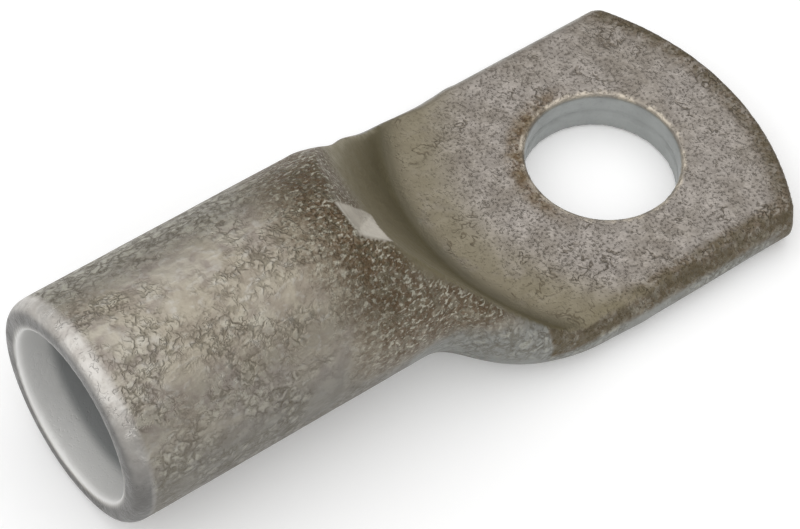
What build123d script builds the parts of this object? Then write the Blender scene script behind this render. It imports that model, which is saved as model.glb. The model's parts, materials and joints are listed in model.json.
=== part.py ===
from build123d import *
import math
import os

# A tubular cable lug: a length of tube with one end left round for the cable
# and the other pressed flat into a two-layer palm with a hole for a stud.
# Millimetres. +X runs along the barrel from the mouth to the palm's tip, +Z up.
# The origin is the stud hole's centre on the palm's underside.

# Driving dimensions
barrel_diameter = 12.4
wall = 1.5
palm_width = 18.0
stud_hole_diameter = 8.4
mouth_to_hole = 34.0
hole_to_tip = 8.85
tip_radius = 15.8

# The two layers together lose a little of their thickness to the press
pressed_share = 0.9333

# Mouth: outer rounding and broken inner edge
mouth_round_length = 0.9
mouth_round_drop = 0.45
mouth_inner_break = 0.17

# Transition from round to flat: how far closed and how far spread, at even stations
hole_to_transition = 17.4
transition_length = 14.0
closing_shares = (1, 0.96, 0.834, 0.615, 0.375, 0.2, 0.1, 0.034, 0, 0, 0)
spreading_shares = (0, 0.015, 0.11, 0.358, 0.622, 0.794, 0.898, 0.962, 0.99, 1, 1)
hollow_stations = 6
hollow_lead = 1.4
split_angle = 1

# Press mark: the sloped heel between the barrel's crown and the flat
foot_radius = 13.4
foot_to_hole = 11.4
crown_lead = 0.4
valley_fillet = 2.0
shoulder_round = 1.8
shoulder_drop = 0.15
flare_angle = 10

# Nick that the press left in the shoulder, as shares of the barrel's diameter
# from the transition's start, from the middle and from the underside
nick_low_shares = (-0.035, -0.142, 0.911)
nick_left_shares = (-0.064, -0.014, 0.99)
nick_back_shares = (-0.063, -0.19, 0.959)
nick_right_shares = (0.032, -0.259, 0.924)
nick_front_shares = (0.117, -0.024, 0.775)
nick_stretch = 6

# Seam between the two pressed layers, and the small rounding of cut edges
seam_height = 0.12
seam_depth = 0.2
edge_break = 0.2

# Sizes that follow from the ones above
barrel_radius = barrel_diameter / 2
bore_radius = barrel_radius - wall
stud_radius = stud_hole_diameter / 2
fold_radius = wall
palm_thickness = 2 * wall * pressed_share
fold_spacing = palm_width / 2 - fold_radius
mouth_x = -mouth_to_hole
start_x = -hole_to_transition
end_x = start_x + transition_length
stations = len(closing_shares) - 1
step = transition_length / stations
tip_centre_x = hole_to_tip - tip_radius
heel_centre_x = foot_radius - foot_to_hole
knee_height = barrel_diameter - shoulder_drop
knee_radius = heel_centre_x - start_x + crown_lead
heel_angle = math.degrees(math.atan2(knee_height - palm_thickness, knee_radius - foot_radius))
reach = 2 * barrel_diameter


def at(x, y, z):
    return Vector(x, y, z)


def moved(solid, x, y, z):
    return solid.moved(Location((x, y, z)))


def arc(x, y, z, radius, low, high):
    """Part of a circle across the lug, by its angles in degrees."""
    turns = [math.radians(a) for a in (low, (low + high) / 2, high)]
    points = [at(x, y + radius * math.cos(a), z + radius * math.sin(a)) for a in turns]
    return ThreePointArc(*points).edge()


def round_ring(x, radius):
    """A circle cut into four arcs, two of them short."""
    low = -90 + split_angle
    high = 90 - split_angle
    cuts = (low, high, high + 2 * split_angle, 180 - low, 360 + low)
    return Wire([arc(x, 0, barrel_radius, radius, a, b) for a, b in zip(cuts, cuts[1:])])


def flat_ring(x, spacing, radius, floor):
    """Two half circles joined by straight lines."""
    right = arc(x, spacing, floor + radius, radius, -90, 90)
    left = arc(x, -spacing, floor + radius, radius, 90, 270)
    top = Line(right @ 1, left @ 0).edge()
    bottom = Line(left @ 1, right @ 0).edge()
    return Wire([right, top, left, bottom])


def squashed(inset, lead, last):
    """The tube from round to flat, inset from the outer skin and round up to its lead."""
    rings = [round_ring(start_x - lead, barrel_radius - inset)]
    for station in range(1, last + 1):
        radius = fold_radius + closing_shares[station] * (barrel_radius - fold_radius)
        spacing = spreading_shares[station] * fold_spacing
        rings.append(flat_ring(start_x + station * step, spacing, radius - inset, inset))
    return Solid.make_loft(rings)


def barrel():
    """The round end, turned, with the rounded lip at its mouth."""
    lip = (mouth_round_length ** 2 + mouth_round_drop ** 2) / (2 * mouth_round_drop)
    lean = math.atan2(mouth_round_length, lip - mouth_round_drop) / 2
    lip_x = mouth_x + mouth_round_length
    lip_z = barrel_diameter - lip
    front = at(mouth_x, 0, barrel_diameter - mouth_round_drop)
    middle = at(lip_x - lip * math.sin(lean), 0, lip_z + lip * math.cos(lean))
    back = at(lip_x, 0, barrel_diameter)
    end_top = at(start_x, 0, barrel_diameter)
    end_middle = at(start_x, 0, barrel_radius)
    mouth_middle = at(mouth_x, 0, barrel_radius)
    curve = ThreePointArc(front, middle, back).edge()
    straight = Polyline(back, end_top, end_middle, mouth_middle, front).edges()
    return revolve(Face(Wire([curve, *straight])), Axis(mouth_middle, at(1, 0, 0)))


def palm():
    """The flat end, still square at the tip."""
    section = Face(flat_ring(end_x, fold_spacing, fold_radius, 0))
    return extrude(section, amount=hole_to_tip + fold_radius - end_x, dir=at(1, 0, 0))


def rim_by_height(solid, place):
    return solid.edges().filter_by(GeomType.CIRCLE).sort_by(Axis.Z)[place]


def press(grow):
    """The press's foot, turned: a flat sole, a rounded rim, a slope and a flare."""
    sole = palm_thickness - grow
    slope = math.radians(heel_angle)
    foot = foot_radius + grow * math.tan(slope / 2)
    knee = knee_radius + grow / math.sin(slope)
    brim = knee + barrel_diameter
    top = knee_height + barrel_diameter * math.tan(math.radians(flare_angle))
    corners = [(0, sole), (foot, sole), (knee, knee_height), (brim, top), (0, top)]
    points = [at(heel_centre_x + r, 0, z) for r, z in corners]
    turned = revolve(Face(Wire.make_polygon(points)), Axis(points[0], at(0, 0, 1))).solid()
    turned = turned.fillet(shoulder_round + grow, [rim_by_height(turned, 1)])
    turned = turned.fillet(valley_fillet + grow, [rim_by_height(turned, 0)])
    block = moved(Solid.make_box(reach, reach, reach), heel_centre_x, -reach / 2, sole)
    return Part() + turned + block


def hollow():
    """The bore, closing down between the layers as the tube is pressed."""
    bore = Solid.make_cylinder(bore_radius, start_x - hollow_lead - mouth_x)
    bore = bore.moved(Location((mouth_x, 0, barrel_radius), (0, 90, 0)))
    return Part() + bore + squashed(wall, hollow_lead, hollow_stations) - press(wall)


def tip_waste(inset):
    """Everything past the tip's curve, or past a line just inside it."""
    keep = moved(Solid.make_cylinder(tip_radius - inset, reach), tip_centre_x, 0, -barrel_radius)
    blank = moved(Solid.make_box(reach, reach, reach), 0, -reach / 2, -barrel_radius)
    return Part() + blank - keep


def seam():
    """The line between the layers, where the stud hole and the tip cut it."""
    floor = (palm_thickness - seam_height) / 2
    ring = moved(Solid.make_cylinder(stud_radius + seam_depth, seam_height), 0, 0, floor)
    slab = moved(Solid.make_box(reach, 2 * fold_spacing, seam_height), 0, -fold_spacing, floor)
    return Part() + ring + (Part() + slab & tip_waste(seam_depth))


def nick_point(shares):
    along, across, height = [share * barrel_diameter for share in shares]
    return at(start_x + along, across, height)


def nick():
    """A small four-sided pit, its sides carried on past the skin."""
    low = nick_point(nick_low_shares)
    around = (nick_left_shares, nick_back_shares, nick_right_shares, nick_front_shares)
    corners = [low + (nick_point(shares) - low) * nick_stretch for shares in around]
    left, back, right, front = corners
    sides = [(low, a, b) for a, b in zip(corners, corners[1:] + corners[:1])]
    lids = [(left, back, front), (back, right, front)]
    return Solid(Shell([Face(Wire.make_polygon(points)) for points in sides + lids]))


def rounded_cuts(solid):
    """Break the edges at the tip, the stud hole and the mouth."""
    tip = solid.faces().sort_by(Axis.X)[-1]
    solid = solid.fillet(edge_break, tip.edges())
    circles = solid.edges().filter_by(GeomType.CIRCLE)
    rims = [edge for edge in circles if abs(edge.arc_center.X) < edge_break]
    solid = solid.fillet(edge_break, rims)
    mouth = solid.faces().sort_by(Axis.X)[0]
    bore_edge = mouth.edges().sort_by(SortBy.RADIUS)[0]
    return solid.chamfer(mouth_inner_break, None, [bore_edge])


body = Part() + barrel() + squashed(0, 0, stations) + palm() - press(0)
body = Part() + body - hollow() - tip_waste(0)
body -= moved(Solid.make_cylinder(stud_radius, 2 * reach), 0, 0, -reach)
body = Part() + rounded_cuts(body) - seam() - nick()

os.makedirs("parts", exist_ok=True)
export_step(body, "parts/cable_lug.step")
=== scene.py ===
import json
import math

import bpy
import numpy as np
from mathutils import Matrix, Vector, noise

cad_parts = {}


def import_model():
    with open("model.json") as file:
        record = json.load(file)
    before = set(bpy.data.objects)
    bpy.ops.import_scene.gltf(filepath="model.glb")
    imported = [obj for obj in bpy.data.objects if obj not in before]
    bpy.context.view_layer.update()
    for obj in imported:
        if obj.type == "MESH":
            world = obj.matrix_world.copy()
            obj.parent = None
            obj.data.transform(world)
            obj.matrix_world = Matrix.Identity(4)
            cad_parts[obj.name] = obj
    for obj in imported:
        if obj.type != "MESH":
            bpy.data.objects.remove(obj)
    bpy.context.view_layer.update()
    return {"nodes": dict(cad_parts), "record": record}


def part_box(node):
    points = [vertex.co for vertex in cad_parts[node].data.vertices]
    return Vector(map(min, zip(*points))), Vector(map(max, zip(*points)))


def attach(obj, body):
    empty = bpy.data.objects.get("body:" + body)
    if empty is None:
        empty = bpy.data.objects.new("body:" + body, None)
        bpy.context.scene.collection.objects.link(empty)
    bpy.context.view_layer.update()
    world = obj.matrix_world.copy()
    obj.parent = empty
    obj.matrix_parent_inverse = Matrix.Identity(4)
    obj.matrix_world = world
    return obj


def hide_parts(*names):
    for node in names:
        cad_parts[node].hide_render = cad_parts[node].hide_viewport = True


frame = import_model()

# Lengths are metres. The frame's origin is the stud hole's centre on the
# palm's underside, with +X towards the palm's tip and +Z up.
MM = 0.001

# The lug's own sizes, read from the frame
LOW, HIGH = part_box("cable_lug")
MOUNTS = {mount["name"]: mount for mount in frame["record"]["mounts"]}
STUD_RADIUS = MOUNTS["stud_hole"]["dims"]["r_mm"] * MM
BORE_RADIUS = MOUNTS["cable_barrel"]["dims"]["r_mm"] * MM
PALM_TOP = MOUNTS["palm_top"]["pos_m"][2]
BARREL_RADIUS = (HIGH[2] - LOW[2]) / 2
MOUTH_X = LOW[0]
TIP_X = HIGH[0]
HALF_WIDTH = HIGH[1]

# The press: where its foot turned, how wide it was, and how its slope rises
# to the knee, where the slope meets the round barrel
TRANSITION_X = -17.4 * MM
FOOT_CENTRE_X = 2.0 * MM
FOOT_RADIUS = 13.4 * MM
KNEE_RADIUS = 19.8 * MM
HEEL_RISE = (2 * BARREL_RADIUS - PALM_TOP) / (KNEE_RADIUS - FOOT_RADIUS)
TIP_RADIUS = 15.8 * MM
TIP_CENTRE_X = TIP_X - TIP_RADIUS

# The nick in the shoulder: its bottom, then the four corners round it. Its pale colour is
# painted light: its two facets take a share of it, the left one less as painted shade, and the
# line along the crease between them takes all of it as a painted highlight.
NICK_LOW = (-17.83 * MM, -1.76 * MM, 11.30 * MM)
NICK_LEFT = (-18.19 * MM, -0.17 * MM, 12.28 * MM)
NICK_BACK = (-18.18 * MM, -2.36 * MM, 11.89 * MM)
NICK_RIGHT = (-17.00 * MM, -3.21 * MM, 11.46 * MM)
NICK_FRONT = (-15.95 * MM, -0.30 * MM, 9.61 * MM)
NICK_MARGIN = 0.07 * MM
NICK_HIGHLIGHT_WIDTH = 0.16 * MM
LEFT_FACET_LIGHT = 0.5
RIGHT_FACET_LIGHT = 0.72

# The skin: a fine even mesh, softened, with shallow relief pressed into it
VOXEL = 0.185 * MM
SOFTENING = 4
SOFTENING_FACTOR = 0.5
INWARD = 0.006 * MM
SWELL_SIZE = 5.0 * MM
SWELL_DEPTH = 0.05 * MM
SWELL_SEED = 3
PEEL_SIZE = 1.0 * MM
PEEL_DEPTH = 0.012 * MM
PEEL_SEED = 7

# The seam between the two walls, on the upright faces where the stud hole and
# the tip cut them
SEAM_REACH = 0.13 * MM
SEAM_DEPTH = 0.09 * MM
SEAM_TIP_FADE = (-2.0 * MM, -1.0 * MM)
UPRIGHT = 0.5

# Where each zone's soft edge starts and ends, measured from its place
BORE_FADE = (0.1 * MM, 0.4 * MM)
STUD_FADE = (0.04 * MM, 0.16 * MM)
MOUTH_FADE = (0.8 * MM, 1.15 * MM)
DEEP_SHADE_FADE = (1.6 * MM, 2.3 * MM)
SLOPE_FOOT_FADE = (-1.0 * MM, 0.4 * MM)
SLOPE_KNEE_FADE = (-1.2 * MM, 0.3 * MM)
LEFT_FADE = (-2.0 * MM, 1.0 * MM)
STRIP_FADE = (-4.6 * MM, -1.6 * MM)
TIP_FADE = (0.3 * MM, 1.6 * MM)
SIDE_FADE = (-1.7 * MM, -1.0 * MM)
SIDE_TOP_FADE = (-1.1 * MM, -0.6 * MM)
FOLD_FADE = (4.2 * MM, 6.0 * MM)
BROWN_FADE = (0.4 * MM, 6.0 * MM)
BROWN_KNEE_FADE = (-1.6 * MM, 0.1 * MM)
BROWN_FLOOR_FADE = (4.4 * MM, 6.6 * MM)
STREAK_START = (0.1 * MM, 1.2 * MM)
STREAK_END = (1.6 * MM, 2.8 * MM)
STREAK_FLOOR_FADE = (7.0 * MM, 9.5 * MM)
RIM_FADE = (0.5 * MM, 1.4 * MM)

# Other limits of the zones
KNEE_BLUR = 1.3 * MM
BORE_CLEARANCE = 0.6 * MM
SLOPE_BAND = 1.2 * MM
TOP_BAND = 0.4 * MM
PALM_BAND = 0.1 * MM
LIP_REACH = 0.3 * MM
LIP_DEPTH = 0.35 * MM
SIDE_START_X = -10.0 * MM
BROWN_END_X = -5.0 * MM

# Where a zone starts and is full by the way that a face turns, from -1 to 1
SLOPE_FACING = (-0.1, 0.3)
BROWN_FACING = (-0.1, 0.35)
TOP_FACING = (0.7, 0.9)
PALM_FACING = (0.6, 0.9)
LIP_FACING = (0.2, 0.5)
# Painted shade: full where a face turns down past the first, gone past the second
UNDERSIDE_SHADE_FACING = (0.0, 0.8)
FAR_FACING = (0.15, 0.6)

# The brown side of the stud hole's rim, and where it starts and is full there
RIM_TOWARDS = (-0.8, 0.6)
RIM_SIDE = (0.3, 0.95)

# The tin's patterns: how wide their features are
BROAD = 3.2 * MM
ROUGH_PATCH = 2.6 * MM
FINE_PATCH = 1.9 * MM
SCRATCH_PATCH = 1.7 * MM
STRIP_PATCH = 1.6 * MM
WORN_PATCH = 1.1 * MM
PATCH = 0.9 * MM
SCRATCH = 0.8 * MM
WANDER = 0.7 * MM
WANDER_REACH = 1.3 * MM
LUMP = 0.62 * MM
BORDER_BREAK = 0.55 * MM
THIN_BREAK = 0.5 * MM
STREAK_BREAK = 0.5 * MM
BLOTCH = 0.42 * MM
THIN = 0.36 * MM
GRAIN = 0.23 * MM
FLECK = 0.18 * MM
FINE = 0.17 * MM

# Some patterns are longer along the lug, because their places count for less there
LONG = (0.7, 1, 1)
SLIGHTLY_LONG = (0.8, 1, 1)

# The tin's colours, with some painted light and shade among them
DULL_TIN = (0.334, 0.293, 0.257)
PALE_TIN = (0.445, 0.41, 0.343)
WARM_TIN = (0.352, 0.307, 0.232)
BRIGHT_TIN = (0.51, 0.488, 0.443)
DULL_PALM = (0.27, 0.239, 0.206)
PALE_PALM = (0.345, 0.313, 0.286)
BRIGHT_PALM = (0.495, 0.45, 0.413)
FAR_GREY = (0.25, 0.246, 0.212)
# Painted shade, on the faces that turn down
UNDERSIDE_PAINTED_SHADE = (0.165, 0.16, 0.145)
FOLD_GREY = (0.288, 0.296, 0.281)
HOLE_BROWN = (0.21, 0.158, 0.093)
BAND_BROWN = (0.155, 0.128, 0.08)
STREAK_BROWN = (0.1, 0.074, 0.042)
BORDER_DARK = (0.115, 0.1, 0.068)
GRAIN_BROWN = (0.112, 0.068, 0.036)
FLECK_PALE = (0.51, 0.495, 0.41)
PIT_DARK = (0.09, 0.068, 0.039)
# Painted glints on the palm and the brown band
PAINTED_GLINT = (0.675, 0.63, 0.555)
EDGE_BROWN = (0.128, 0.105, 0.063)
# The slope's olive, darkened with painted shade where it faces the palm
SLOPE_OLIVE_SHADE = (0.192, 0.164, 0.087)
STRIP_BEIGE = (0.237, 0.207, 0.138)
# A painted glint along the stud hole's top rim
LIP_PAINTED_GLINT = (0.63, 0.562, 0.465)
STUD_GREY = (0.372, 0.386, 0.379)
BORE_BRIGHT = (0.77, 0.765, 0.745)
# Painted shade deep in the bore
DEEP_PAINTED_SHADE = (0.28, 0.29, 0.29)
# Painted light on the nick's facets, and a painted highlight along its crease
NICK_PAINTED_LIGHT = (0.6, 0.56, 0.48)
MOUTH_BRIGHT = (0.6, 0.578, 0.547)
# Painted shade under the mouth's rim
MOUTH_PAINTED_SHADE = (0.095, 0.093, 0.089)

# How metallic and rough the tin is, and how deep its fine relief looks
TIN_METALLIC = 0.85
BORE_METALLIC = 0.2
ROUGHEST = 0.52
SMOOTHEST = 0.4
MOUTH_POLISH = 0.1
PIT_ROUGHNESS = 0.12
BUMP_DEPTH = 0.045 * MM

# The studio: white paper under one large bright screen, and one soft lamp
WHITE = (1, 1, 1)
PAPER_WHITE = (0.9, 0.9, 0.9)
PAPER_ROUGHNESS = 0.9
PAPER_SPECULAR = 0.1
PAPER_LIFT = 0.18
FLOOR_HALF = 1.5
FLOOR_GAP = 0.01 * MM
SKY_TOWARDS = (-0.3, 0.05, 0.9)
SKY_RANGE = (-0.1, 0.95)
SKY_STRENGTHS = (0.27, 0.87)
LAMP_TURN = (14, 0, -90)
LAMP_ANGLE = 120
LAMP_STRENGTH = 1.13

# The camera, as fitted to the outline, the stud hole and the mouth
CAMERA_PLACE = (-79.1 * MM, -77.1 * MM, 139.0 * MM)
CAMERA_TURN = (36.60, -2.92, -36.42)
CAMERA_LENS = 146.59
SENSOR_WIDTH = 36.0
CAMERA_NEAR = 1 * MM


def add_to_scene(thing):
    bpy.context.scene.collection.objects.link(thing)
    return thing


# The skin's mesh
def fine_mesh(node):
    """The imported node's form as one even mesh of small faces."""
    copy = add_to_scene(bpy.data.objects.new("copy", node.data.copy()))
    remesh = copy.modifiers.new("remesh", "REMESH")
    remesh.mode = "VOXEL"
    remesh.voxel_size = VOXEL
    smooth = copy.modifiers.new("smooth", "SMOOTH")
    smooth.factor = SOFTENING_FACTOR
    smooth.iterations = SOFTENING
    graph = bpy.context.evaluated_depsgraph_get()
    mesh = bpy.data.meshes.new_from_object(copy.evaluated_get(graph))
    bpy.data.objects.remove(copy)
    mesh.name = "lug_skin"
    mesh.materials.clear()
    return mesh


def read_vectors(items, name):
    values = np.empty(len(items) * 3)
    items.foreach_get(name, values)
    return values.reshape(-1, 3)


def rise(start, end, values):
    """0 up to the start and 1 from the end on, with a smooth rise between."""
    share = np.clip((values - start) / (end - start), 0, 1)
    return share * share * (3 - 2 * share)


def past(place, fade, values):
    """0 before a place and 1 past it, with a fade's start and end from there."""
    return rise(place + fade[0], place + fade[1], values)


def before(place, fade, values):
    return 1 - past(place, fade, values)


def bumps(points, size, seed):
    """Soft noise from 0 to 1, with bumps about as wide as a size."""
    shift = Vector((seed, 2 * seed, 3 * seed))
    return np.array([0.5 + noise.noise(Vector(point) / size + shift) / 2 for point in points])


def nick_painted_light(points):
    """How much painted light the nick gets at each point: 0 outside the nick."""
    low = np.array(NICK_LOW)
    corners = (NICK_LEFT, NICK_BACK, NICK_RIGHT, NICK_FRONT)
    around = [np.array(corner) - low for corner in corners]
    front = np.array(NICK_FRONT) - low
    facings = [np.cross(b, a) for a, b in zip(around, around[1:] + around[:1])]
    facings = [facing * np.sign(np.sum(around, axis=0) @ facing) for facing in facings]
    out = np.array([(points - low) @ (facing / np.linalg.norm(facing)) for facing in facings])
    from_facets = np.abs(out)

    near = np.linalg.norm(points - low, axis=1) < np.linalg.norm(front) + NICK_MARGIN
    near = near * (points[:, 1] < NICK_LEFT[1])
    inside = near * np.all(out > -NICK_MARGIN, axis=0)
    inside = inside * np.any(from_facets < NICK_MARGIN, axis=0)
    off_line = np.linalg.norm(np.cross(points - low, front / np.linalg.norm(front)), axis=1)
    # Painted light: a share for each facet, and a painted highlight along the crease
    right, left = from_facets[2:]
    share = np.where(left < right, LEFT_FACET_LIGHT, RIGHT_FACET_LIGHT)
    return inside * np.maximum(share, np.exp(-((off_line / NICK_HIGHLIGHT_WIDTH) ** 2)))


def measure(points, normals):
    """Distances and facings that the relief and the zones are made from."""
    x, y, z = points.T
    from_axis = np.hypot(y, z - BARREL_RADIUS)
    from_foot = np.hypot(x - FOOT_CENTRE_X, y)
    toward_foot = -normals[:, 0] * (x - FOOT_CENTRE_X) - normals[:, 1] * y
    off_axis = normals[:, 1] * y + normals[:, 2] * (z - BARREL_RADIUS)
    return {
        "x": x,
        "y": y,
        "z": z,
        "up": normals[:, 2],
        "facing_left": normals[:, 1],
        "from_stud": np.hypot(x, y),
        "from_axis": from_axis,
        "from_foot": from_foot,
        "past_knee": from_foot - KNEE_RADIUS,
        "slope_facing": toward_foot / np.maximum(from_foot, VOXEL),
        "off_axis": off_axis / np.maximum(from_axis, VOXEL),
        "under_slope": PALM_TOP + (from_foot - FOOT_RADIUS) * HEEL_RISE - z,
        "from_tip": TIP_RADIUS - np.hypot(x - TIP_CENTRE_X, y),
    }


def tube_zones(at):
    """The tube's own surfaces: the bore, the stud hole's wall, the mouth. Also where shade is
    painted: deep in the bore, and on the faces that turn down.
    """
    under = (at["under_slope"] > BORE_CLEARANCE) + (at["from_foot"] > KNEE_RADIUS)
    inside = (at["x"] < -FOOT_RADIUS) * (at["off_axis"] < 0) * under
    bore = inside * before(BORE_RADIUS, BORE_FADE, at["from_axis"])
    stud_wall = before(STUD_RADIUS, STUD_FADE, at["from_stud"])
    return {
        "bore": bore,
        "stud_wall": stud_wall,
        "mouth": before(MOUTH_X, MOUTH_FADE, at["x"]) * (1 - bore),
        # Where shade is painted: deep in the bore
        "deep": bore * past(MOUTH_X, DEEP_SHADE_FADE, at["x"]),
        # Where shade is painted: on the faces that turn down
        "low": 1 - rise(*UNDERSIDE_SHADE_FACING, at["up"]),
    }


def palm_zones(at, stud_wall):
    """The palm's top, its brown edges, and the stud hole's rim and lip, the lip with a painted
    glint.
    """
    palm = rise(*PALM_FACING, at["up"])
    palm = palm * (at["z"] < PALM_TOP + PALM_BAND) * (at["z"] > PALM_TOP / 2)
    top = (np.abs(at["z"] - PALM_TOP) < TOP_BAND) * (at["x"] < 0) * rise(*TOP_FACING, at["up"])

    tip = before(0, TIP_FADE, at["from_tip"]) * (at["x"] > 0) * (1 - stud_wall)
    side = past(HALF_WIDTH, SIDE_FADE, -at["y"]) * (at["x"] > SIDE_START_X)
    side = side * past(PALM_TOP, SIDE_TOP_FADE, at["z"])

    towards = (RIM_TOWARDS[0] * at["x"] + RIM_TOWARDS[1] * at["y"]) / STUD_RADIUS
    hole_rim = before(STUD_RADIUS, RIM_FADE, at["from_stud"]) * palm
    lip = (at["from_stud"] < STUD_RADIUS + LIP_REACH) * (at["z"] > PALM_TOP - LIP_DEPTH)
    return {
        "palm": palm,
        "strip": past(FOOT_RADIUS, STRIP_FADE, at["from_foot"]) * top,
        "edge": np.maximum(tip, side),
        "hole_rim": hole_rim * rise(*RIM_SIDE, towards),
        # The lip carries a painted glint
        "lip": lip * rise(*LIP_FACING, at["up"]),
    }


def press_zones(at, nick, tube, palm):
    """What the press left: slope, fold, brown band with its streak, far side."""
    outside = 1 - tube["bore"]
    blurred = at["past_knee"] + KNEE_BLUR * past(0, LEFT_FADE, at["y"])
    slope = (np.abs(at["under_slope"]) < SLOPE_BAND) * rise(*SLOPE_FACING, at["slope_facing"])
    slope = slope * past(FOOT_RADIUS, SLOPE_FOOT_FADE, at["from_foot"])
    slope = slope * before(0, SLOPE_KNEE_FADE, blurred)

    fold = (at["x"] > TRANSITION_X) * before(0, FOLD_FADE, at["z"])
    fold = fold * (1 - palm["palm"]) * (1 - palm["edge"])

    on_slope = rise(*BROWN_FACING, at["slope_facing"]) * before(0, BROWN_KNEE_FADE, blurred)
    brown = before(0, BROWN_FADE, at["past_knee"]) * (at["x"] < BROWN_END_X)
    brown = brown * (1 - palm["palm"]) * (1 - on_slope)
    brown = brown * past(0, BROWN_FLOOR_FADE, at["z"]) * outside
    streak = past(0, STREAK_START, at["past_knee"]) * before(0, STREAK_END, at["past_knee"])
    streak = streak * brown * past(0, STREAK_FLOOR_FADE, at["z"])

    far = rise(*FAR_FACING, at["facing_left"]) * (at["x"] < -FOOT_RADIUS) * (1 - slope)
    return {
        "slope": slope * (nick == 0),
        "fold": fold * outside * (1 - tube["stud_wall"]),
        "brown": brown * (nick == 0),
        "streak": streak * (nick == 0),
        "far": far * outside * (1 - tube["mouth"]),
    }


def zones(at, nick):
    """How much of each kind of surface there is at each point, from 0 to 1."""
    tube = tube_zones(at)
    palm = palm_zones(at, tube["stud_wall"])
    return {**tube, **palm, **press_zones(at, nick, tube, palm), "nick": nick}


def relief(points, at, zone):
    """How far the skin is pressed inwards at each point."""
    worked = (1 - zone["bore"]) * (1 - zone["stud_wall"])
    swell = SWELL_DEPTH * bumps(points, SWELL_SIZE, SWELL_SEED)
    peel = PEEL_DEPTH * bumps(points, PEEL_SIZE, PEEL_SEED)
    cut = np.maximum(zone["stud_wall"], past(TIP_X, SEAM_TIP_FADE, at["x"]))
    cut = cut * (np.abs(at["up"]) < UPRIGHT)
    seam = SEAM_DEPTH * cut * (1 - rise(0, SEAM_REACH, np.abs(at["z"] - PALM_TOP / 2)))
    return INWARD + worked * (swell + peel) + seam


def lug_skin():
    """The lug's skin, with its zones as attributes that the tin reads."""
    mesh = fine_mesh(frame["nodes"]["cable_lug"])
    points = read_vectors(mesh.vertices, "co")
    normals = read_vectors(mesh.vertex_normals, "vector")
    at = measure(points, normals)
    zone = zones(at, nick_painted_light(points))
    points = points - normals * relief(points, at, zone)[:, None]
    mesh.vertices.foreach_set("co", points.reshape(-1))
    mesh.shade_smooth()
    for name, values in zone.items():
        mesh.attributes.new(name, "FLOAT", "POINT").data.foreach_set("value", values)
    mesh.update()
    mesh.materials.append(tin_plate(zone))
    return add_to_scene(bpy.data.objects.new("lug_skin", mesh))


# Materials
class Nodes:
    """Short names for the shader nodes that the materials are made of.

    Sockets that share a name are given by their number.
    """

    def __init__(self, name):
        self.material = bpy.data.materials.new(name)
        self.material.use_nodes = True
        self.tree = self.material.node_tree
        self.shader = self.tree.nodes["Principled BSDF"]

    def add(self, kind, inputs=(), **settings):
        node = self.tree.nodes.new(kind)
        for key, value in settings.items():
            setattr(node, key, value)
        for key, value in dict(inputs).items():
            self.put(value, node.inputs[key])
        return node

    def put(self, value, socket):
        """Gives a socket a link from another socket, or a value of its own."""
        if isinstance(value, bpy.types.NodeSocket):
            self.tree.links.new(value, socket)
        elif socket.type == "RGBA":
            socket.default_value = (*value, 1)
        else:
            socket.default_value = value

    def shade(self, **values):
        """Sets the shader's sockets, with _ for a space in their names."""
        for name, value in values.items():
            self.put(value, self.shader.inputs[name.replace("_", " ")])

    def math(self, operation, a, b=0.0, clamp=False):
        settings = {"operation": operation, "use_clamp": clamp}
        return self.add("ShaderNodeMath", {0: a, 1: b}, **settings).outputs[0]

    def plus(self, a, b):
        return self.math("ADD", a, b)

    def minus(self, a, b):
        return self.math("SUBTRACT", a, b)

    def times(self, first, *others):
        for other in others:
            first = self.math("MULTIPLY", first, other)
        return first

    def any(self, first, *others):
        """The largest of some shares."""
        for other in others:
            first = self.math("MAXIMUM", first, other)
        return first

    def less(self, amount, share):
        """An amount, less where a share is high."""
        return self.times(amount, self.math("SUBTRACT", 1.0, share, clamp=True))

    def zone(self, name):
        return self.add("ShaderNodeAttribute", attribute_name=name).outputs["Fac"]

    def place(self, stretch=(1, 1, 1)):
        """Where a point is on the lug, in millimetres, stretched if asked."""
        spot = self.add("ShaderNodeTexCoord").outputs["Object"]
        scale = [share / MM for share in stretch]
        return self.add("ShaderNodeMapping", {"Vector": spot, "Scale": scale}).outputs[0]

    def noise(self, place, size, detail=2.0, rough=0.5, twist=0.0):
        inputs = {"Vector": place, "Scale": MM / size, "Detail": detail}
        inputs.update({"Roughness": rough, "Distortion": twist})
        return self.add("ShaderNodeTexNoise", inputs).outputs["Fac"]

    def between(self, value, low, high, start=0.0, end=1.0):
        """A value's way from low to high, as a smooth way from start to end."""
        inputs = {"Value": value, 1: low, 2: high, 3: start, 4: end}
        settings = {"interpolation_type": "SMOOTHSTEP"}
        return self.add("ShaderNodeMapRange", inputs, **settings).outputs[0]

    def lines(self, place, size, width):
        """Lines that wind where a noise is at its middle."""
        middle = self.minus(self.noise(place, size, twist=0.3), 0.5)
        return self.between(self.math("ABSOLUTE", middle), 0.0, width, 1.0, 0.0)

    def lumps(self, place):
        """How far a point is inside its lump, on bent ground."""
        inputs = {"Vector": place, "Scale": MM / WANDER, "Detail": 2.0}
        wander = self.add("ShaderNodeTexNoise", inputs).outputs["Color"]
        inputs = {0: wander, 1: (WANDER_REACH / MM,) * 3, 2: place}
        bent = self.add("ShaderNodeVectorMath", inputs, operation="MULTIPLY_ADD").outputs[0]
        inputs = {"Vector": bent, "Scale": MM / LUMP}
        cells = self.add("ShaderNodeTexVoronoi", inputs, feature="DISTANCE_TO_EDGE")
        return cells.outputs["Distance"]

    def grains(self, place, size):
        """Small cells, each with its own value from 0 to 1."""
        cells = self.add("ShaderNodeTexVoronoi", {"Vector": place, "Scale": MM / size})
        return self.add("ShaderNodeSeparateColor", {0: cells.outputs["Color"]}).outputs[0]

    def colour(self, share, first, second):
        """The first colour, with a share of the second laid over it."""
        inputs = {0: share, 6: first, 7: second}
        return self.add("ShaderNodeMix", inputs, data_type="RGBA").outputs[2]


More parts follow.
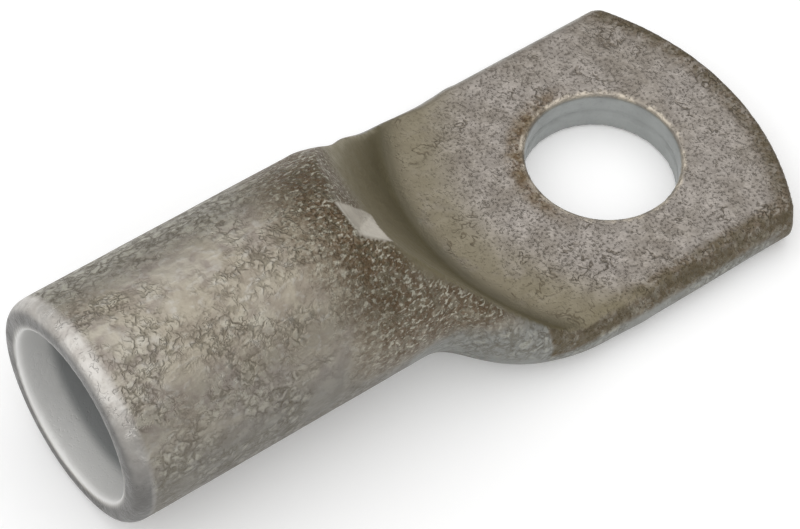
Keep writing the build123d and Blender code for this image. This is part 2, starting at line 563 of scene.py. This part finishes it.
def tin_patterns(tin, zone):
    """The tin's patterns by name, each with a share from 0 to 1."""
    place = tin.place()
    long_place = tin.place(LONG)
    palm, far, mouth = zone["palm"], zone["far"], zone["mouth"]

    # Patches of tin that froze apart, and where the surface is rough or brown
    broad = tin.noise(place, BROAD)
    patch = tin.noise(place, PATCH, twist=0.35)
    fine = tin.noise(place, FINE, rough=0.6)
    strip = tin.between(tin.noise(place, STRIP_PATCH), 0.25, 0.5, 0.5, 1.0)
    worn = tin.noise(place, WORN_PATCH, detail=3, rough=0.6)
    worn = tin.plus(worn, tin.times(zone["brown"], 0.6))
    brown = tin.times(zone["brown"], tin.between(worn, 0.4, 0.72))
    rough = tin.noise(tin.place(SLIGHTLY_LONG), ROUGH_PATCH, rough=0.6)
    rough = tin.any(tin.between(rough, 0.36, 0.6), brown, zone["edge"], far)
    fine_here = tin.between(tin.noise(place, FINE_PATCH, rough=0.6), 0.44, 0.6)
    fine_here = tin.any(tin.times(palm, fine_here), far, rough)

    # Lumps with dark borders and pale crowns on the barrel
    in_lump = tin.lumps(place)
    broken = tin.between(tin.noise(place, BORDER_BREAK, detail=1), 0.36, 0.56, 0.15, 1.0)
    border = tin.times(tin.between(in_lump, 0.0, 0.2, 1.0, 0.0), rough, broken)
    border = tin.less(tin.less(border, tin.times(mouth, 0.8)), palm)
    crown = tin.times(tin.between(in_lump, 0.12, 0.4), tin.any(far, tin.times(rough, 0.6)))

    # Thin dark lines, fainter on the palm, and its few longer scratches
    thin = tin.between(tin.noise(place, THIN_BREAK, detail=1), 0.42, 0.56)
    thin = tin.less(tin.times(tin.lines(place, THIN, 0.07), thin), tin.times(palm, 0.55))
    line = tin.any(border, tin.times(thin, 0.8, fine_here))
    scratch = tin.between(tin.noise(place, SCRATCH_PATCH, detail=1), 0.55, 0.63)
    scratch = tin.times(tin.lines(place, SCRATCH, 0.05), scratch, palm)

    # Flecks and a dark streak in the brown band
    streak = tin.between(tin.noise(place, STREAK_BREAK), 0.4, 0.55, 0.1, 0.8)
    streak = tin.times(zone["streak"], streak)
    fleck = tin.between(tin.noise(long_place, FLECK, detail=1, twist=0.2), 0.54, 0.68)
    fleck = tin.times(fleck, tin.less(brown, tin.times(streak, 0.6)))
    crown = tin.less(crown, tin.any(palm, brown))
    return {
        "broad": broad,
        "patch": patch,
        "blotch": tin.noise(long_place, BLOTCH, rough=0.55, twist=0.3),
        "fine": fine,
        "grain": tin.grains(place, GRAIN),
        "pit": tin.between(fine, 0.53, 0.72),
        "rough": rough,
        "brown": brown,
        "strip": tin.times(zone["strip"], strip),
        "line": tin.times(line, tin.between(far, 0.0, 1.0, 1.0, 1.5)),
        "scratch": tin.less(scratch, tin.any(zone["slope"], zone["stud_wall"])),
        "streak": streak,
        "fleck": tin.any(fleck, tin.times(crown, 0.72)),
    }


def tin_tone(tin, zone, pattern, smooth):
    """The tin's colour, as layers laid over each other, the last on top."""
    palm, edge, mouth, low = zone["palm"], zone["edge"], zone["mouth"], zone["low"]
    broad, patch, fine = pattern["broad"], pattern["patch"], pattern["fine"]
    brown, rough = pattern["brown"], pattern["rough"]
    pitted = tin.times(palm, tin.between(broad, 0.35, 0.65, 0.1, 0.42))
    pitted = tin.any(pitted, tin.times(rough, 0.35), tin.times(edge, 0.75))
    grain = tin.between(pattern["grain"], 0.75, 0.3)
    browned = tin.times(tin.any(brown, edge, zone["hole_rim"]), grain)
    band = tin.times(brown, tin.between(patch, 0.65, 0.4, 0.8, 1.0))
    # Where the glints are painted
    glint = tin.times(tin.between(fine, 0.44, 0.3), tin.any(palm, brown))
    flat = tin.colour(tin.between(broad, 0.38, 0.62), DULL_PALM, PALE_PALM)
    layers = (
        # The metal's own patches, with painted shade on the faces that turn down
        (tin.between(patch, 0.36, 0.64), PALE_TIN),
        (tin.between(broad, 0.4, 0.65, 0.0, 0.5), WARM_TIN),
        (tin.between(pattern["blotch"], 0.5, 0.75, 0.0, 0.65), BRIGHT_TIN),
        (tin.times(palm, 0.88), flat),
        (tin.times(palm, 0.35, tin.between(patch, 0.45, 0.65)), BRIGHT_PALM),
        (tin.times(zone["far"], 0.6), FAR_GREY),
        # Painted shade: darker where the faces turn down
        (tin.less(tin.times(low, 0.8), tin.times(brown, 0.8)), UNDERSIDE_PAINTED_SHADE),
        (tin.times(zone["fold"], 0.75), FOLD_GREY),
        # Brown dirt, then what stands out or lies deep in it, and painted glints
        (tin.times(zone["hole_rim"], tin.between(patch, 0.6, 0.4, 0.4, 0.9)), HOLE_BROWN),
        (tin.less(band, tin.times(low, 0.35)), BAND_BROWN),
        (pattern["streak"], STREAK_BROWN),
        (tin.less(tin.times(pattern["line"], 0.6), smooth), BORDER_DARK),
        (tin.less(tin.times(browned, 0.65), smooth), GRAIN_BROWN),
        (tin.less(tin.times(pattern["fleck"], 0.75), smooth), FLECK_PALE),
        (tin.less(tin.times(pattern["pit"], pitted), smooth), PIT_DARK),
        # Painted glints on the palm and the brown band
        (tin.less(tin.times(glint, 0.18), smooth), PAINTED_GLINT),
        (tin.times(edge, 0.8, tin.between(patch, 0.62, 0.38, 0.5, 1.0)), EDGE_BROWN),
        # The smooth places, some with painted light and shade
        # The smooth slope's olive, darkened with painted shade where it faces the palm
        (tin.times(zone["slope"], 0.92), SLOPE_OLIVE_SHADE),
        (tin.times(pattern["strip"], 0.85), STRIP_BEIGE),
        (tin.times(pattern["scratch"], 0.55), PIT_DARK),
        # A painted glint along the stud hole's top rim
        (tin.times(zone["lip"], tin.between(patch, 0.4, 0.6, 0.2, 0.9)), LIP_PAINTED_GLINT),
        (tin.times(tin.less(zone["stud_wall"], zone["lip"]), 0.95), STUD_GREY),
        (zone["bore"], BORE_BRIGHT),
        # Painted shade deep in the bore
        (tin.times(zone["deep"], 0.9), DEEP_PAINTED_SHADE),
        # Painted light on the nick, with a painted highlight along its crease
        (zone["nick"], NICK_PAINTED_LIGHT),
        (tin.times(mouth, tin.between(patch, 0.35, 0.65, 0.6, 0.92)), MOUTH_BRIGHT),
        # Painted shade on the underside of the mouth's rim
        (tin.times(mouth, low, 0.9), MOUTH_PAINTED_SHADE),
    )
    tone = DULL_TIN
    for share, layer in layers:
        tone = tin.colour(share, tone, layer)
    return tone


def tin_height(tin, zone, pattern, smooth):
    """The tin's fine relief: patches and grains up, lines and pits down."""
    height = tin.plus(pattern["blotch"], tin.times(pattern["patch"], 0.8))
    height = tin.minus(height, tin.times(tin.any(pattern["line"], pattern["scratch"]), 0.8))
    pitted = tin.any(zone["palm"], zone["edge"], pattern["brown"])
    height = tin.minus(height, tin.times(pattern["pit"], pitted))
    height = tin.plus(height, tin.times(pattern["grain"], pattern["brown"], 0.6))
    return tin.less(height, tin.times(smooth, 0.85))


def tin_plate(zone_names):
    """Dull, mottled tin that is different in each zone."""
    tin = Nodes("tin_plate")
    zone = {name: tin.zone(name) for name in zone_names}
    pattern = tin_patterns(tin, zone)
    smooth = tin.any(zone["bore"], zone["stud_wall"], zone["nick"], zone["slope"])
    smooth = tin.any(smooth, tin.times(pattern["strip"], 0.75))
    roughness = tin.between(pattern["patch"], 0.3, 0.7, ROUGHEST, SMOOTHEST)
    roughness = tin.minus(roughness, tin.times(zone["mouth"], MOUTH_POLISH))
    height = tin_height(tin, zone, pattern, smooth)
    bump = tin.add("ShaderNodeBump", {"Height": height, "Strength": 1.0, "Distance": BUMP_DEPTH})
    tin.shade(
        Base_Color=tin_tone(tin, zone, pattern, smooth),
        Metallic=tin.between(zone["bore"], 0.0, 1.0, TIN_METALLIC, BORE_METALLIC),
        Roughness=tin.plus(roughness, tin.times(pattern["pit"], PIT_ROUGHNESS)),
        Normal=bump.outputs[0],
    )
    return tin.material


def white_paper():
    """Matt white, and a little lighter where the camera or a reflection sees it."""
    paper = Nodes("white_paper")
    rays = paper.add("ShaderNodeLightPath").outputs
    seen = paper.any(rays["Is Camera Ray"], rays["Is Glossy Ray"], rays["Is Transmission Ray"])
    paper.shade(
        Base_Color=PAPER_WHITE,
        Roughness=PAPER_ROUGHNESS,
        Specular_IOR_Level=PAPER_SPECULAR,
        Emission_Color=WHITE,
        Emission_Strength=paper.times(seen, PAPER_LIFT),
    )
    return paper.material


# The floor, the light and the camera
def paper_floor():
    mesh = bpy.data.meshes.new("floor")
    corners = [(-FLOOR_HALF, -FLOOR_HALF, 0), (FLOOR_HALF, -FLOOR_HALF, 0)]
    corners += [(FLOOR_HALF, FLOOR_HALF, 0), (-FLOOR_HALF, FLOOR_HALF, 0)]
    mesh.from_pydata(corners, [], [(0, 1, 2, 3)])
    mesh.materials.append(white_paper())
    floor = add_to_scene(bpy.data.objects.new("floor", mesh))
    floor.location.z = LOW[2] - FLOOR_GAP
    return floor


def studio_world():
    """A plain studio: one large bright screen overhead, dimmer away from it."""
    world = bpy.data.worlds.new("studio")
    world.use_nodes = True
    tree = world.node_tree
    spot = tree.nodes.new("ShaderNodeTexCoord")
    facing = tree.nodes.new("ShaderNodeVectorMath")
    facing.operation = "DOT_PRODUCT"
    facing.inputs[1].default_value = Vector(SKY_TOWARDS).normalized()
    ramp = tree.nodes.new("ShaderNodeMapRange")
    tree.links.new(spot.outputs["Generated"], facing.inputs[0])
    tree.links.new(facing.outputs["Value"], ramp.inputs[0])
    for key, value in enumerate(SKY_RANGE + SKY_STRENGTHS, start=1):
        ramp.inputs[key].default_value = value
    background = tree.nodes["Background"]
    background.inputs["Color"].default_value = (*WHITE, 1)
    tree.links.new(ramp.outputs[0], background.inputs["Strength"])
    return world


def soft_lamp():
    data = bpy.data.lights.new("key", "SUN")
    data.angle = math.radians(LAMP_ANGLE)
    data.energy = LAMP_STRENGTH
    lamp = add_to_scene(bpy.data.objects.new("key", data))
    lamp.rotation_euler = [math.radians(part) for part in LAMP_TURN]


def fitted_camera():
    data = bpy.data.cameras.new("camera")
    data.lens = CAMERA_LENS
    data.sensor_width = SENSOR_WIDTH
    data.clip_start = CAMERA_NEAR
    camera = add_to_scene(bpy.data.objects.new("camera", data))
    camera.location = CAMERA_PLACE
    camera.rotation_euler = [math.radians(part) for part in CAMERA_TURN]
    return camera


skin = lug_skin()
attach(skin, "root")
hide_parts("cable_lug")
floor = paper_floor()

soft_lamp()
bpy.context.scene.world = studio_world()
bpy.context.scene.camera = fitted_camera()
bpy.context.scene.view_settings.view_transform = "Standard"
